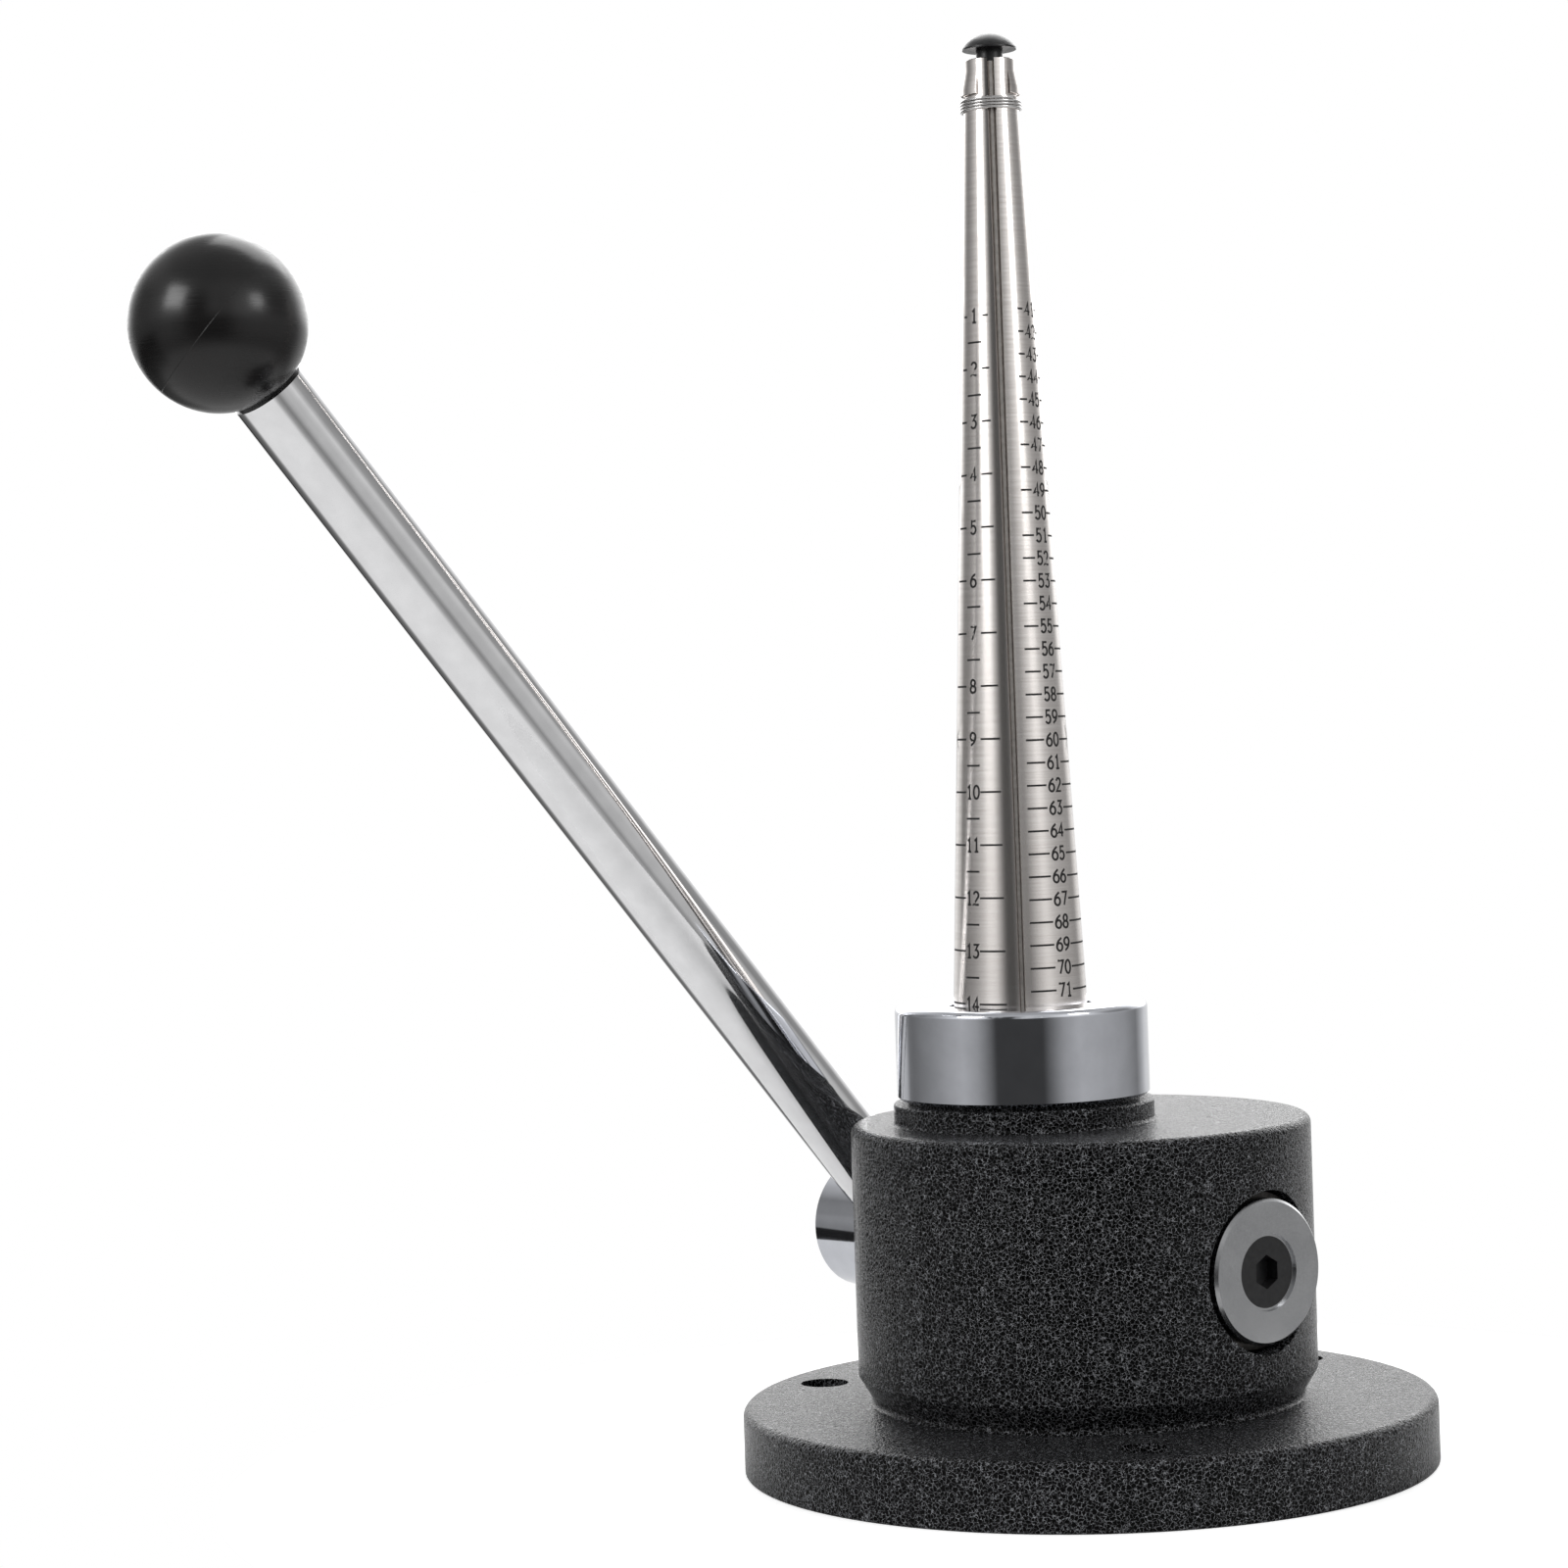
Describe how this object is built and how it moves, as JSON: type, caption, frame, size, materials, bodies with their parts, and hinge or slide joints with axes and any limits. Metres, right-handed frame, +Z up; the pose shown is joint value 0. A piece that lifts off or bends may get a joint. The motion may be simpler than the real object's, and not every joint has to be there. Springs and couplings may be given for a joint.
{
  "type": "ring stretcher",
  "caption": "Bench tool that enlarges finger rings: a lever and pinion lift a tapered core that spreads a split, graduated mandrel on a flanged base.",
  "frame": {"origin": "centre of the round flange's underside, on the drum's axis", "axes": "+Z up along the drum, Y along the lever shaft with the end washer facing -Y and the lever at +Y, the lever leaning towards -X at rest"},
  "size_m": [0.2095, 0.1281, 0.2469],
  "materials": {
    "hammertone_paint": "glossy charcoal hammertone enamel",
    "polished_steel": "polished steel, bright plated",
    "ground_steel": "surface ground",
    "mandrel_steel": "satin, turned rings of fine marks",
    "core_steel": "hardened, dark",
    "spring_steel": "drawn wire",
    "bright_chrome": "bright chrome plate",
    "black_oxide": "black oxide, satin",
    "knob_plastic": "black phenolic, satin gloss",
    "bush_steel": "bored, dark with oil",
    "zinc_plate": "zinc plated sheet"
  },
  "bodies": {
    "base": {"base_casting": "hammertone_paint", "bottom_cover": "zinc_plate", "cover_screws": "black_oxide", "collar": "polished_steel", "front_bush": "bush_steel", "rear_bush": "bush_steel", "spindle_bush": "bush_steel", "upper_spring_ring": "spring_steel", "lower_spring_ring": "spring_steel"},
    "lever": {"pinion_shaft": "polished_steel", "end_washer": "ground_steel", "end_screw": "black_oxide", "lever_rod": "bright_chrome", "ball_knob": "knob_plastic", "knob_insert": "bush_steel"},
    "spindle": {"rack_spindle": "core_steel", "expander_core": "core_steel", "core_pin": "core_steel", "top_button_screw": "black_oxide"},
    "segment_right": {"mandrel_segment_right": "mandrel_steel"},
    "segment_back": {"mandrel_segment_back": "mandrel_steel"},
    "segment_left": {"mandrel_segment_left": "mandrel_steel"},
    "segment_front": {"mandrel_segment_front": "mandrel_steel"}
  },
  "joints": [
    {"name": "lever_swing", "type": "hinge", "parent": "base", "child": "lever", "pos_m": [0.0056, 0, 0.0358], "axis": [0, 1, 0], "range_deg": [0, 80]},
    {"name": "spindle_lift", "type": "slide", "parent": "base", "child": "spindle", "axis": [0, 0, 1], "range_m": [0, 0.01484]},
    {"name": "segment_right_spread", "type": "slide", "parent": "base", "child": "segment_right", "axis": [0.9957, 0.0924, 0], "range_m": [0, 0.000458], "deforming": ["upper_spring_ring", "lower_spring_ring"]},
    {"name": "segment_back_spread", "type": "slide", "parent": "base", "child": "segment_back", "axis": [-0.0924, 0.9957, 0], "range_m": [0, 0.000458]},
    {"name": "segment_left_spread", "type": "slide", "parent": "base", "child": "segment_left", "axis": [-0.9957, -0.0924, 0], "range_m": [0, 0.000458]},
    {"name": "segment_front_spread", "type": "slide", "parent": "base", "child": "segment_front", "axis": [0.0924, -0.9957, 0], "range_m": [0, 0.000458]}
  ],
  "couplings": [
    {"joint": "spindle_lift", "follows": "lever_swing", "m_per_rad": 0.010625},
    {"joint": "segment_right_spread", "follows": "lever_swing", "m_per_rad": 0.00032753},
    {"joint": "segment_back_spread", "follows": "lever_swing", "m_per_rad": 0.00032753},
    {"joint": "segment_left_spread", "follows": "lever_swing", "m_per_rad": 0.00032753},
    {"joint": "segment_front_spread", "follows": "lever_swing", "m_per_rad": 0.00032753}
  ]
}
